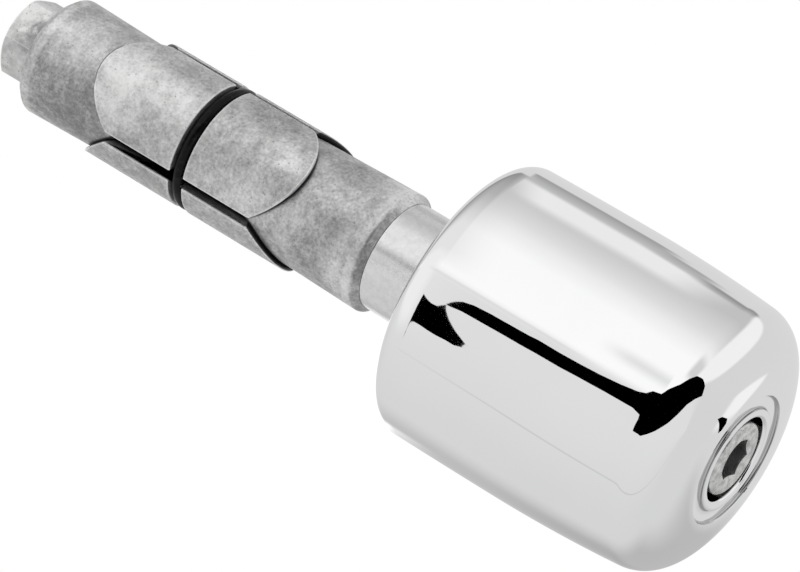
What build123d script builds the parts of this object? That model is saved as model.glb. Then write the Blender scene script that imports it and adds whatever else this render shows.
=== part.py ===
"""A chromed bar end weight on its expanding anchor, standing on the weight's outer face.

The anchor slips into the open end of a tubular handlebar. Turning the cap screw draws the far
wedge towards the near one, and the three shoes between them ride up both sets of ramps and grip
the tube. +Z runs along the axis, from the weight's outer face at z = 0 to the nut. The first
shoe is centred on -Y.
"""
from build123d import *
import math
import os

# The weight, a turned and chromed steel barrel
WEIGHT_LENGTH = 41.85
WEIGHT_DIAMETER = 38.0
CROWN_HEIGHT = 23.95
OUTER_SHOULDER_DIAMETER = 36.4
OUTER_CORNER_LENGTH = 6.05
INNER_SHOULDER_DIAMETER = 37.7
INNER_CORNER_RADIUS = 2.1
INNER_CORNER_FLATS = 5

# The domed end: how far each end of its curve keeps its direction, and its slope at the groove
DOME_FACE_FULLNESS = 0.617
DOME_SIDE_FULLNESS = 0.56
DOME_SLOPE = 2.4

# The rings turned in the outer face
FACE_GROOVE_INNER_DIAMETER = 14.1
FACE_GROOVE_OUTER_DIAMETER = 17.8
FACE_GROOVE_DEPTH = 0.5
FACE_EDGE_BREAK = 0.12

# The cap screw and the holes that it passes through
SCREW_DIAMETER = 6.0
SCREW_HEAD_DIAMETER = 10.0
SCREW_HEAD_HEIGHT = 6.0
SCREW_HEAD_EDGE = 0.5
SCREW_HEAD_RECESS = 0.1
SCREW_END_CHAMFER = 0.6
SOCKET_ACROSS_FLATS = 5.0
SOCKET_DEPTH = 3.2
SOCKET_TURN = -13.6
HEAD_CLEARANCE = 0.85
SHANK_CLEARANCE = 0.3

# The aluminium spacer
SPACER_DIAMETER = 14.8
SPACER_STAND_OUT = 10.3
SPACER_SEAT_DEPTH = 0.7
SPACER_SEAT_CLEARANCE = 0.05
SPACER_EDGE_BREAK = 0.2

# The wedges and the ramps that they share with the shoes
NEAR_WEDGE_DIAMETER = 16.6
FAR_WEDGE_DIAMETER = 16.35
NEAR_COLLAR_LENGTH = 12.4
FAR_COLLAR_LENGTH = 10.4
WEDGE_DRAFT = 1.5
WEDGE_CHAMFER = 0.8
RAMP_ANGLE = 38.0
NOSE_WALL = 0.6
RAMP_CLEARANCE = 0.04

# The three shoes
SHOE_COUNT = 3
SHOE_DIAMETER = 17.46
SHOE_LENGTH = 32.3
SHOE_GAP = 1.5
SHOE_BORE_DIAMETER = 8.4
SHOE_TIP_CHAMFER = 0.6

# The rubber ring that holds the shoes in
RING_SECTION = 1.6
RING_SECTION_SIDES = 12
RING_GROOVE_WIDTH = 2.1
RING_BELOW_SURFACE = 0.08
RING_SEAT_CLEARANCE = 0.02

# The nut and the hexagonal pocket that keeps it from turning
NUT_ACROSS_FLATS = 10.0
NUT_LENGTH = 6.5
NUT_STAND_OUT = 5.2
NUT_CHAMFER_ANGLE = 30.0
NUT_POCKET_CLEARANCE = 0.05
THREAD_CLEARANCE = 0.04

# Heights along the axis that several pieces share
SPACER_TOP = WEIGHT_LENGTH + SPACER_STAND_OUT
SHOE_LOW_TIP = SPACER_TOP + NEAR_COLLAR_LENGTH
SHOE_HIGH_TIP = SHOE_LOW_TIP + SHOE_LENGTH
SHOE_MIDDLE = (SHOE_LOW_TIP + SHOE_HIGH_TIP) / 2
FAR_WEDGE_TOP = SHOE_HIGH_TIP + FAR_COLLAR_LENGTH
NUT_TOP = FAR_WEDGE_TOP + NUT_STAND_OUT
NUT_BASE = NUT_TOP - NUT_LENGTH
SCREW_SEAT = SCREW_HEAD_RECESS + SCREW_HEAD_HEIGHT

# How far a cutting body reaches past what it cuts
CUT_OVERSHOOT = 1.0

# The fullness at which a corner's curve is a quarter of a circle
QUARTER_CIRCLE = 0.5523

# Radii that several pieces share
SCREW_RADIUS = SCREW_DIAMETER / 2
PASSAGE_RADIUS = SCREW_RADIUS + SHANK_CLEARANCE
SHOE_RADIUS = SHOE_DIAMETER / 2
NOSE_HEIGHT = PASSAGE_RADIUS + NOSE_WALL
RAMP_SLOPE = math.tan(math.radians(RAMP_ANGLE))

# A blunted tip ends short of the point where its two sides would meet
TIP_SETBACK = SHOE_TIP_CHAMFER * math.cos(math.radians(RAMP_ANGLE))
RAMP_GAP = RAMP_CLEARANCE / math.sin(math.radians(RAMP_ANGLE))
RAMP_RUN = (SHOE_RADIUS - NOSE_HEIGHT) / RAMP_SLOPE


def disc(radius, low, high):
    """A plain round bar on the axis, from one height to another."""
    return Pos(0, 0, low) * Cylinder(radius, high - low, align=(Align.CENTER, Align.CENTER, Align.MIN))


def hexagon(across_flats, low, high, turn=0):
    """A hexagonal bar on the axis, with two of its flats facing -Y and +Y unless it is turned."""
    outline = RegularPolygon(across_flats / 2, 6, major_radius=False, rotation=turn)
    return Pos(0, 0, low) * extrude(outline, high - low)


def turned(profile_edges):
    """A body turned about the axis from a closed outline of radius and height."""
    outline = make_face(Wire(profile_edges))
    return revolve(outline, Axis.Z)


def at_height(radius, height):
    """A point of a turned outline, in the plane that holds the axis."""
    return Vector(radius, 0, height)


def slab_across(points):
    """A prism across the first shoe, from its outline of distance from the axis and height."""
    outline = make_face(Polyline(*[Vector(0, -out, height) for out, height in points], close=True))
    return extrude(outline, amount=WEIGHT_DIAMETER / 2, dir=(1, 0, 0), both=True)


def around(piece):
    """The same piece at each shoe's place round the axis."""
    return [Rot(0, 0, index * 360 / SHOE_COUNT) * piece for index in range(SHOE_COUNT)]


def make_weight():
    """The barrel: crowned side, domed end, counterbored outer face, spacer seat."""
    groove_radius = FACE_GROOVE_OUTER_DIAMETER / 2
    groove_edge = at_height(groove_radius, 0)
    shoulder = at_height(OUTER_SHOULDER_DIAMETER / 2, OUTER_CORNER_LENGTH)
    crown = at_height(WEIGHT_DIAMETER / 2, CROWN_HEIGHT)
    inner_shoulder = at_height(INNER_SHOULDER_DIAMETER / 2, WEIGHT_LENGTH - INNER_CORNER_RADIUS)
    outer_side = TangentArc(crown, shoulder, tangent=(0, 0, -1))
    inner_side = TangentArc(crown, inner_shoulder, tangent=(0, 0, 1))
    dome_slope = math.radians(DOME_SLOPE)
    dome_direction = at_height(math.cos(dome_slope), math.sin(dome_slope))
    dome = Bezier(
        groove_edge,
        groove_edge + dome_direction * (DOME_FACE_FULLNESS * (shoulder.X - groove_radius)),
        shoulder + outer_side.tangent_at(1) * (DOME_SIDE_FULLNESS * OUTER_CORNER_LENGTH),
        shoulder,
    )
    side_end = inner_side.tangent_at(1)
    corner_peak = inner_shoulder + side_end * (INNER_CORNER_RADIUS / side_end.Z)
    inner_edge = at_height(inner_shoulder.X - INNER_CORNER_RADIUS, WEIGHT_LENGTH)
    rounding = Bezier(
        inner_shoulder,
        inner_shoulder + (corner_peak - inner_shoulder) * QUARTER_CIRCLE,
        inner_edge + (corner_peak - inner_edge) * QUARTER_CIRCLE,
        inner_edge,
    )
    stops = [rounding @ (step / INNER_CORNER_FLATS) for step in range(INNER_CORNER_FLATS + 1)]
    inner_corner = Polyline(*stops)
    rest_face = Line(at_height(0, 0), groove_edge)
    inner_face = Line(inner_edge, at_height(0, WEIGHT_LENGTH))
    axis_line = Line(at_height(0, WEIGHT_LENGTH), at_height(0, 0))
    lines = [rest_face, dome, outer_side, inner_side, inner_corner, inner_face, axis_line]
    barrel = turned([edge for line in lines for edge in line.edges()])
    groove = disc(groove_radius, 0, FACE_GROOVE_DEPTH)
    groove -= disc(FACE_GROOVE_INNER_DIAMETER / 2, 0, FACE_GROOVE_DEPTH)
    barrel -= groove
    barrel -= disc(SCREW_HEAD_DIAMETER / 2 + HEAD_CLEARANCE, 0, SCREW_SEAT)
    barrel -= disc(PASSAGE_RADIUS, 0, WEIGHT_LENGTH)
    seat_radius = SPACER_DIAMETER / 2 + SPACER_SEAT_CLEARANCE
    barrel -= disc(seat_radius, WEIGHT_LENGTH - SPACER_SEAT_DEPTH, WEIGHT_LENGTH)
    face_rims = barrel.edges().filter_by(GeomType.CIRCLE).group_by(Axis.Z)[0]
    boss_rims = [edge for edge in face_rims if edge.radius < groove_radius - FACE_EDGE_BREAK]
    return chamfer(boss_rims, FACE_EDGE_BREAK)


def make_clamp_screw():
    """The socket head cap screw that runs the whole length of the part."""
    head = disc(SCREW_HEAD_DIAMETER / 2, SCREW_HEAD_RECESS, SCREW_SEAT)
    head = chamfer(head.edges().group_by(Axis.Z)[0], SCREW_HEAD_EDGE)
    shank = disc(SCREW_RADIUS, SCREW_SEAT, NUT_TOP)
    shank = chamfer(shank.edges().group_by(Axis.Z)[-1], SCREW_END_CHAMFER)
    socket_floor = SCREW_HEAD_RECESS + SOCKET_DEPTH
    socket = hexagon(SOCKET_ACROSS_FLATS, SCREW_HEAD_RECESS, socket_floor, SOCKET_TURN)
    return head + shank - socket


def make_spacer():
    """The turned aluminium tube between the weight and the anchor."""
    tube = disc(SPACER_DIAMETER / 2, WEIGHT_LENGTH - SPACER_SEAT_DEPTH, SPACER_TOP)
    tube = chamfer(tube.edges().filter_by(GeomType.CIRCLE), SPACER_EDGE_BREAK)
    return tube - disc(PASSAGE_RADIUS, WEIGHT_LENGTH - SPACER_SEAT_DEPTH, SPACER_TOP)


def make_wedge(collar_diameter, collar_length):
    """A die-cast wedge that points up, with its collar's outer end at z = 0.

    Its three flat ramps fall from the collar to the nose, each one facing a shoe.
    """
    ramp_foot = collar_length - TIP_SETBACK - RAMP_GAP
    nose = ramp_foot + RAMP_RUN
    collar_radius = collar_diameter / 2
    nose_radius = collar_radius - nose * math.tan(math.radians(WEDGE_DRAFT))
    outline = Polyline(
        at_height(0, 0),
        at_height(collar_radius, 0),
        at_height(nose_radius, nose),
        at_height(0, nose),
        close=True,
    )
    body = turned(outline.edges())
    end_rim = body.edges().filter_by(GeomType.CIRCLE).group_by(Axis.Z)[0]
    body = chamfer(end_rim, WEDGE_CHAMFER)
    body -= disc(PASSAGE_RADIUS, 0, nose)
    ramp_cut = slab_across([
        (SHOE_RADIUS + CUT_OVERSHOOT, ramp_foot - CUT_OVERSHOOT / RAMP_SLOPE),
        (SHOE_RADIUS + CUT_OVERSHOOT, nose + CUT_OVERSHOOT / RAMP_SLOPE),
        (NOSE_HEIGHT - CUT_OVERSHOOT, nose + CUT_OVERSHOOT / RAMP_SLOPE),
    ])
    for cut in around(ramp_cut):
        body -= cut
    return body


def make_near_wedge():
    """The wedge against the spacer."""
    return Pos(0, 0, SPACER_TOP) * make_wedge(NEAR_WEDGE_DIAMETER, NEAR_COLLAR_LENGTH)


def make_far_wedge():
    """The wedge at the far end, turned over, with the pocket that holds the nut."""
    wedge = make_wedge(FAR_WEDGE_DIAMETER, FAR_COLLAR_LENGTH)
    wedge = Pos(0, 0, FAR_WEDGE_TOP) * Rot(180, 0, 0) * wedge
    wedge = Rot(0, 0, 180) * wedge
    pocket = hexagon(NUT_ACROSS_FLATS + 2 * NUT_POCKET_CLEARANCE, NUT_BASE, FAR_WEDGE_TOP)
    return wedge - pocket


def make_first_shoe():
    """The shoe on -Y: a third of a tube, with both ends cut to the ramps and a ring groove."""
    half_length = SHOE_LENGTH / 2 + TIP_SETBACK
    inner = SHOE_BORE_DIAMETER / 2 - CUT_OVERSHOOT
    outer = SHOE_RADIUS + CUT_OVERSHOOT
    half_inner = half_length - (SHOE_RADIUS - inner) / RAMP_SLOPE
    half_outer = half_length + CUT_OVERSHOOT / RAMP_SLOPE
    shoe = slab_across([
        (inner, SHOE_MIDDLE - half_inner),
        (outer, SHOE_MIDDLE - half_outer),
        (outer, SHOE_MIDDLE + half_outer),
        (inner, SHOE_MIDDLE + half_inner),
    ])
    shoe &= disc(SHOE_RADIUS, SHOE_LOW_TIP - SHOE_LENGTH, SHOE_HIGH_TIP + SHOE_LENGTH)
    tips = shoe.edges().filter_by(GeomType.ELLIPSE)
    shoe = chamfer(tips, SHOE_TIP_CHAMFER)
    shoe -= disc(SHOE_BORE_DIAMETER / 2, SHOE_LOW_TIP, SHOE_HIGH_TIP)
    sector = extrude(make_face(Polyline(*shoe_sector_corners(), close=True)), NUT_TOP)
    shoe &= sector
    groove_low = SHOE_MIDDLE - RING_GROOVE_WIDTH / 2
    groove_high = SHOE_MIDDLE + RING_GROOVE_WIDTH / 2
    groove = disc(SHOE_RADIUS + CUT_OVERSHOOT, groove_low, groove_high)
    groove -= disc(ring_seat_radius(), groove_low, groove_high)
    return shoe - groove


def shoe_sector_corners():
    """The corners of the sector that a shoe may fill, half a gap short of each neighbour."""
    half_sector = math.pi / SHOE_COUNT
    apex = -SHOE_GAP / 2 / math.sin(half_sector)
    reach = 2 * SHOE_RADIUS
    side = reach * math.tan(half_sector)
    return [Vector(0, apex), Vector(-side, apex - reach), Vector(side, apex - reach)]


def ring_seat_radius():
    """The radius of the groove's floor."""
    return SHOE_RADIUS - RING_BELOW_SURFACE - RING_SECTION - RING_SEAT_CLEARANCE


def make_o_ring():
    """The rubber ring in the shoes' groove, its round section drawn with short flats."""
    middle = ring_seat_radius() + RING_SEAT_CLEARANCE + RING_SECTION / 2
    section = RegularPolygon(RING_SECTION / 2, RING_SECTION_SIDES)
    return revolve(Plane.XZ * Pos(middle, SHOE_MIDDLE) * section, Axis.Z)


def make_hex_nut():
    """The nut, chamfered at both ends, with its lower end in the far wedge's pocket."""
    corner_radius = NUT_ACROSS_FLATS / math.sqrt(3)
    flat_radius = NUT_ACROSS_FLATS / 2
    drop = (corner_radius - flat_radius) * math.tan(math.radians(NUT_CHAMFER_ANGLE))
    outline = Polyline(
        at_height(0, NUT_BASE),
        at_height(flat_radius, NUT_BASE),
        at_height(corner_radius, NUT_BASE + drop),
        at_height(corner_radius, NUT_TOP - drop),
        at_height(flat_radius, NUT_TOP),
        at_height(0, NUT_TOP),
        close=True,
    )
    nut = hexagon(NUT_ACROSS_FLATS, NUT_BASE, NUT_TOP) & turned(outline.edges())
    return nut - disc(SCREW_RADIUS + THREAD_CLEARANCE, NUT_BASE, NUT_TOP)


def main():
    """Writes one file for each piece."""
    pieces = {
        "weight": make_weight(),
        "clamp_screw": make_clamp_screw(),
        "spacer": make_spacer(),
        "near_wedge": make_near_wedge(),
        "far_wedge": make_far_wedge(),
        "o_ring": make_o_ring(),
        "hex_nut": make_hex_nut(),
    }
    for number, shoe in enumerate(around(make_first_shoe()), start=1):
        pieces[f"expander_shoe_{number}"] = shoe
    os.makedirs("parts", exist_ok=True)
    for name, piece in pieces.items():
        export_step(piece, f"parts/{name}.step")


main()
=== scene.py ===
"""The bar end weight dressed for a photograph: chromed weight, cast expander, plain hardware.

Every turned or cast piece is worked in millimetres on the part's own axis and brought to metres
when it is finished. The expander's first shoe faces -Y.
"""
import math

import bmesh
import bpy
from mathutils import Matrix, Vector
from mathutils.geometry import interpolate_bezier


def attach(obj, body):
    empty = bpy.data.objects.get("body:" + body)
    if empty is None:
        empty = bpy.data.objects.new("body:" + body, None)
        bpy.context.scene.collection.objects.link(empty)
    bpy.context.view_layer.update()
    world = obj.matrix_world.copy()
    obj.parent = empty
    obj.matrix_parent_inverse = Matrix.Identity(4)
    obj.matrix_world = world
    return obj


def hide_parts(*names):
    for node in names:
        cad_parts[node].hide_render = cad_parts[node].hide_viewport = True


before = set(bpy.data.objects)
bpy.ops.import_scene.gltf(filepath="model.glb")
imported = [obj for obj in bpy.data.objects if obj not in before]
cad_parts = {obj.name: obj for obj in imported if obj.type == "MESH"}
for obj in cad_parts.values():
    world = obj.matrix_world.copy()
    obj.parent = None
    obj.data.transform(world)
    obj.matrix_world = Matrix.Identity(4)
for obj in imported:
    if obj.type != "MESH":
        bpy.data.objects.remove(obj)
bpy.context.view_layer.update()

# The weight
# A solid steel barrel, turned with a crowned side and a full outer corner, counterbored for the
# screw's head and polished before it is chromed. It is the piece that the hand meets.
MM = 0.001
AXIS = Vector((0, 0, 1))
FULL_TURN = 2 * math.pi
WEIGHT_END = 41.85
CROWN_RADIUS, CROWN_HEIGHT = 19.0, 23.95
OUTER_SHOULDER_RADIUS, OUTER_SHOULDER_HEIGHT = 18.2, 6.05
INNER_SHOULDER_RADIUS, INNER_CORNER = 18.85, 2.1
GROOVE_RADII, GROOVE_DEPTH, GROOVE_ROOT = (7.05, 8.9), 0.45, 0.25
DOME_SLOPE, DOME_FACE_HANDLE, DOME_SIDE_HANDLE = math.radians(2.4), 5.736, 3.39
COUNTERBORE_RADIUS, COUNTERBORE_EDGE, SCREW_SEAT = 5.8, 0.42, 6.1
PASSAGE_RADIUS = 3.3
SPACER_SEAT_RADIUS, SPACER_SEAT = 7.45, 41.15
FACE_EDGE = 0.12
DOME_START = FACE_EDGE * 0.6
WEIGHT_FACETS = 400
# In millimetres: points nearer than this are one point, and faces thinner than this are cleared.
ONE_POINT, NEEDLE = 1e-5, 1e-4
SHARP_FROM = math.radians(28)


def draw_to(mesh, pen, radius, height):
    """Carry an outline on to a corner given by its radius and height."""
    corner = mesh.verts.new((radius, 0, height))
    if pen is not None:
        mesh.edges.new((pen, corner))
    return corner


def sweep(mesh, pen, radius, height, degrees, steps):
    """Carry an outline on round a centre, the way that a compass would."""
    arc = bmesh.ops.spin(
        mesh, geom=[pen], cent=(radius, 0, height), axis=(0, -1, 0),
        angle=math.radians(degrees), steps=steps,
    )
    return next(part for part in arc["geom_last"] if isinstance(part, bmesh.types.BMVert))


def draw_curve(mesh, pen, handles, steps):
    """Carry an outline on along a smooth curve, from its two ends and the handles between."""
    points = interpolate_bezier(*handles, steps + 1)
    for point in points:
        pen = draw_to(mesh, pen, point.x, point.z)
    return pen


def turn(mesh, steps):
    """Turn the whole outline about the part's axis, as a lathe does."""
    bmesh.ops.spin(
        mesh, geom=mesh.verts[:] + mesh.edges[:], cent=(0, 0, 0), axis=AXIS,
        angle=FULL_TURN, steps=steps, use_merge=True,
    )
    bmesh.ops.remove_doubles(mesh, verts=mesh.verts, dist=ONE_POINT)
    bmesh.ops.recalc_face_normals(mesh, faces=mesh.faces)


def turn_sector(mesh, facing, half, steps):
    """Turn the whole outline to an angle either side of a direction, and close both ends."""
    start = math.atan2(facing.y, facing.x) - half
    bmesh.ops.rotate(
        mesh, cent=(0, 0, 0), matrix=Matrix.Rotation(start, 3, "Z"), verts=mesh.verts,
    )
    bmesh.ops.spin(
        mesh, geom=mesh.verts[:] + mesh.edges[:], cent=(0, 0, 0), axis=AXIS,
        angle=2 * half, steps=steps,
    )
    bmesh.ops.holes_fill(mesh, edges=[edge for edge in mesh.edges if edge.is_boundary], sides=0)
    bmesh.ops.recalc_face_normals(mesh, faces=mesh.faces)


def closed_outline(corners):
    """An outline of straight runs, from pairs of radius and height."""
    mesh = bmesh.new()
    first = pen = None
    for radius, height in corners:
        pen = draw_to(mesh, pen, radius, height)
        first = first or pen
    mesh.edges.new((pen, first))
    return mesh


def stand_up(mesh, name, material):
    """Make an object of a worked mesh, in its material."""
    shape = bpy.data.meshes.new(name)
    mesh.to_mesh(shape)
    mesh.free()
    shape.materials.append(material)
    piece = bpy.data.objects.new(name, shape)
    bpy.context.scene.collection.objects.link(piece)
    return piece


def settle(mesh, name, node, body, material):
    """Bring a worked piece to metres and let it stand for its node on its body."""
    bmesh.ops.dissolve_degenerate(mesh, edges=mesh.edges, dist=NEEDLE)
    bmesh.ops.scale(mesh, vec=(MM, MM, MM), verts=mesh.verts)
    for face in mesh.faces:
        face.smooth = True
    for edge in mesh.edges:
        if edge.is_manifold and edge.calc_face_angle(0) > SHARP_FROM:
            edge.smooth = False
    piece = stand_up(mesh, name, material)
    even = piece.modifiers.new("even shading", "WEIGHTED_NORMAL")
    even.keep_sharp = True
    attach(piece, body)
    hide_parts(node)


def swollen_arc(rise, swell):
    """The radius of a side that swells by so much over a rise."""
    return (rise ** 2 + swell ** 2) / (2 * swell)


def weight_outline():
    """The barrel's section, closed round the screw's passage."""
    mesh = bmesh.new()
    first = draw_to(mesh, None, PASSAGE_RADIUS, SPACER_SEAT)
    pen = draw_to(mesh, first, PASSAGE_RADIUS, SCREW_SEAT)
    pen = draw_to(mesh, pen, COUNTERBORE_RADIUS, SCREW_SEAT)
    pen = draw_to(mesh, pen, COUNTERBORE_RADIUS, COUNTERBORE_EDGE)
    pen = sweep(mesh, pen, COUNTERBORE_RADIUS + COUNTERBORE_EDGE, COUNTERBORE_EDGE, 90, 8)
    inner, outer = GROOVE_RADII
    pen = draw_to(mesh, pen, inner - FACE_EDGE, 0)
    pen = sweep(mesh, pen, inner - FACE_EDGE, FACE_EDGE, 90, 5)
    pen = draw_to(mesh, pen, inner, GROOVE_DEPTH - GROOVE_ROOT)
    pen = sweep(mesh, pen, inner + GROOVE_ROOT, GROOVE_DEPTH - GROOVE_ROOT, -90, 6)
    pen = draw_to(mesh, pen, outer - GROOVE_ROOT, GROOVE_DEPTH)
    pen = sweep(mesh, pen, outer - GROOVE_ROOT, GROOVE_DEPTH - GROOVE_ROOT, -90, 6)
    # the dome, from the groove round to the crowned side
    rise = CROWN_HEIGHT - OUTER_SHOULDER_HEIGHT
    side_radius = swollen_arc(rise, CROWN_RADIUS - OUTER_SHOULDER_RADIUS)
    lean = math.asin(rise / side_radius)
    groove_edge = Vector((outer, 0, 0))
    shoulder = Vector((OUTER_SHOULDER_RADIUS, 0, OUTER_SHOULDER_HEIGHT))
    pen = draw_to(mesh, pen, outer, DOME_START)
    pen = draw_curve(mesh, pen, (
        groove_edge + Vector((DOME_START, 0, 0)),
        groove_edge + Vector((math.cos(DOME_SLOPE), 0, math.sin(DOME_SLOPE))) * DOME_FACE_HANDLE,
        shoulder - Vector((math.sin(lean), 0, math.cos(lean))) * DOME_SIDE_HANDLE,
        shoulder,
    ), 48)
    pen = sweep(mesh, pen, CROWN_RADIUS - side_radius, CROWN_HEIGHT, math.degrees(lean), 18)
    # the inner half of the crown, and its rounded corner
    side_radius = swollen_arc(WEIGHT_END - CROWN_HEIGHT, CROWN_RADIUS - INNER_SHOULDER_RADIUS)
    corner_height = WEIGHT_END - INNER_CORNER
    lean = math.asin((corner_height - CROWN_HEIGHT) / (side_radius - INNER_CORNER))
    corner_radius = CROWN_RADIUS - side_radius + (side_radius - INNER_CORNER) * math.cos(lean)
    pen = sweep(mesh, pen, CROWN_RADIUS - side_radius, CROWN_HEIGHT, math.degrees(lean), 12)
    pen = sweep(mesh, pen, corner_radius, corner_height, 90 - math.degrees(lean), 14)
    pen = draw_to(mesh, pen, SPACER_SEAT_RADIUS + FACE_EDGE, WEIGHT_END)
    pen = sweep(mesh, pen, SPACER_SEAT_RADIUS + FACE_EDGE, WEIGHT_END - FACE_EDGE, 90, 4)
    pen = draw_to(mesh, pen, SPACER_SEAT_RADIUS, SPACER_SEAT)
    mesh.edges.new((pen, first))
    return mesh


class Reading:
    """A node's output in a finish. Arithmetic on it adds the Math nodes."""

    def __init__(self, finish, socket):
        self.finish = finish
        self.socket = socket

    def math(self, operation, *others):
        """One Math node on this reading and up to two other values."""
        values = dict(enumerate((self, *others)))
        return self.finish.node("ShaderNodeMath", {"operation": operation}, values)

    def __add__(self, other):
        return self.math("ADD", other)

    def __radd__(self, other):
        return self.math("ADD", other)

    def __sub__(self, other):
        return self.math("SUBTRACT", other)

    def __rsub__(self, other):
        return self.finish.node("ShaderNodeMath", {"operation": "SUBTRACT"}, {0: other, 1: self})

    def __mul__(self, other):
        return self.math("MULTIPLY", other)

    def __rmul__(self, other):
        return self.math("MULTIPLY", other)

    def __truediv__(self, other):
        return self.math("DIVIDE", other)

    def __rtruediv__(self, other):
        return self.finish.node("ShaderNodeMath", {"operation": "DIVIDE"}, {0: other, 1: self})

    def between(self, low, high):
        """0 below low, 1 above high, and a soft step from one to the other."""
        spread = {"From Min": low, "From Max": high, "To Min": 0.0, "To Max": 1.0}
        settings = {"interpolation_type": "SMOOTHSTEP"}
        return self.finish.node("ShaderNodeMapRange", settings, {"Value": self, **spread})

    def within(self, low, high, low_soft, high_soft):
        """1 from low to high and 0 beyond them, with a softness at each."""
        risen = self.between(low - low_soft, low + low_soft)
        return risen * (1.0 - self.between(high - high_soft, high + high_soft))


# How far the edges of a soft mark wander, in millimetres.
RAGGED = 5


class Finish:
    """A material, or the studio's surroundings, under work."""

    def __init__(self, owner):
        owner.use_nodes = True
        self.owner = owner
        self.tree = owner.node_tree
        self.tree.nodes.clear()

    def node(self, kind, settings=None, sockets=None, output=0):
        """Add a node: its settings first, then the values or readings of its sockets."""
        made = self.tree.nodes.new(kind)
        for name, value in (settings or {}).items():
            if name == "stops":
                ramp = made.color_ramp
                while len(ramp.elements) < len(value):
                    ramp.elements.new(0.5)
                for stop, (place, level) in zip(ramp.elements, value):
                    stop.position = place
                    stop.color = (level, level, level, 1.0)
            else:
                setattr(made, name, value)
        for name, value in (sockets or {}).items():
            if isinstance(value, Reading):
                self.tree.links.new(value.socket, made.inputs[name])
            else:
                made.inputs[name].default_value = value
        return Reading(self, made.outputs[output]) if made.outputs else None

    def place(self):
        """The point on the piece, in metres on the part's own axes."""
        return self.node("ShaderNodeTexCoord", output="Object")

    def noise(self, per_mm, detail=3.0, roughness=0.55, stretch=(1, 1, 1), shift=0.0):
        """Cloudy variation with so many lumps in a millimetre."""
        mapped = self.node("ShaderNodeMapping", None, {
            "Vector": self.place(),
            "Location": (shift, shift * 0.7, shift * 1.3),
            "Scale": tuple(per_mm / MM * s for s in stretch),
        })
        return self.node("ShaderNodeTexNoise", None, {
            "Vector": mapped, "Scale": 1.0, "Detail": detail, "Roughness": roughness,
        })

    def specks(self, per_mm, radius):
        """Small round marks: 1 at the middle of each and 0 between them."""
        mapped = self.node("ShaderNodeMapping", None, {
            "Vector": self.place(), "Scale": (per_mm / MM,) * 3,
        })
        cells = self.node("ShaderNodeTexVoronoi", None, {
            "Vector": mapped, "Scale": 1.0, "Randomness": 1.0,
        }, output="Distance")
        return 1.0 - cells.between(radius * 0.4, radius)

    def height(self):
        """Millimetres up the part's axis."""
        return self.node("ShaderNodeSeparateXYZ", None, {0: self.place()}, output="Z") / MM

    def reach(self):
        """Millimetres out from the part's axis."""
        flat = self.node("ShaderNodeVectorMath", {"operation": "MULTIPLY"}, {
            0: self.place(), 1: (1 / MM, 1 / MM, 0),
        })
        return self.node("ShaderNodeVectorMath", {"operation": "LENGTH"}, {
            0: flat,
        }, output="Value")

    def marks(self, radius, spots):
        """Soft ragged spots, each from degrees round, height, width in mm and strength."""
        scaled = self.node("ShaderNodeVectorMath", {"operation": "SCALE"}, {
            0: self.place(), "Scale": 1 / MM,
        })
        ragged = self.node("ShaderNodeTexNoise", None, {
            "Vector": scaled, "Scale": 0.9, "Detail": 5.0, "Roughness": 0.65,
        }, output="Color")
        wander = self.node("ShaderNodeVectorMath", {"operation": "MULTIPLY_ADD"}, {
            0: ragged, 1: (RAGGED, RAGGED, RAGGED), 2: scaled,
        })
        total = 0.0
        for around, height, width, strength in spots:
            angle = math.radians(around)
            middle = Vector((radius * math.cos(angle), radius * math.sin(angle), height))
            away = self.node("ShaderNodeVectorMath", {"operation": "DISTANCE"}, {
                0: wander, 1: middle + Vector((RAGGED, RAGGED, RAGGED)) / 2,
            }, output="Value")
            total = (1.0 - away.between(width * 0.3, width)) * strength + total
        return total

    def worn_edges(self, width):
        """1 along outer edges, where they are rubbed bright, and 0 on the open faces."""
        shelter = self.node("ShaderNodeAmbientOcclusion", {
            "inside": True, "only_local": True, "samples": 8,
        }, {"Distance": width * MM}, output="AO")
        return 1.0 - shelter.between(0.55, 0.92)

    def tint(self, amount, first, second):
        """A colour between two, by a reading."""
        return self.node("ShaderNodeMix", {"data_type": "RGBA"}, {
            "Factor": amount, 6: (*first, 1.0), 7: (*second, 1.0),
        }, output=2)

    def over(self, shade, amount, colour):
        """One colour laid over a shade where the amount says."""
        return self.node("ShaderNodeMix", {"data_type": "RGBA"}, {
            "Factor": amount, 6: shade, 7: (*colour, 1.0),
        }, output=2)

    def relief(self, height, depth, strength=1.0):
        """Turn a reading into a rise and fall of so many millimetres."""
        return self.node("ShaderNodeBump", None, {
            "Height": height, "Distance": depth * MM, "Strength": strength,
        })

    def surface(self, **sockets):
        """Lay the finish on the piece."""
        named = {name.replace("_", " "): value for name, value in sockets.items()}
        shader = self.node("ShaderNodeBsdfPrincipled", None, named)
        self.node("ShaderNodeOutputMaterial", None, {"Surface": shader})
        return self.owner


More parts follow.
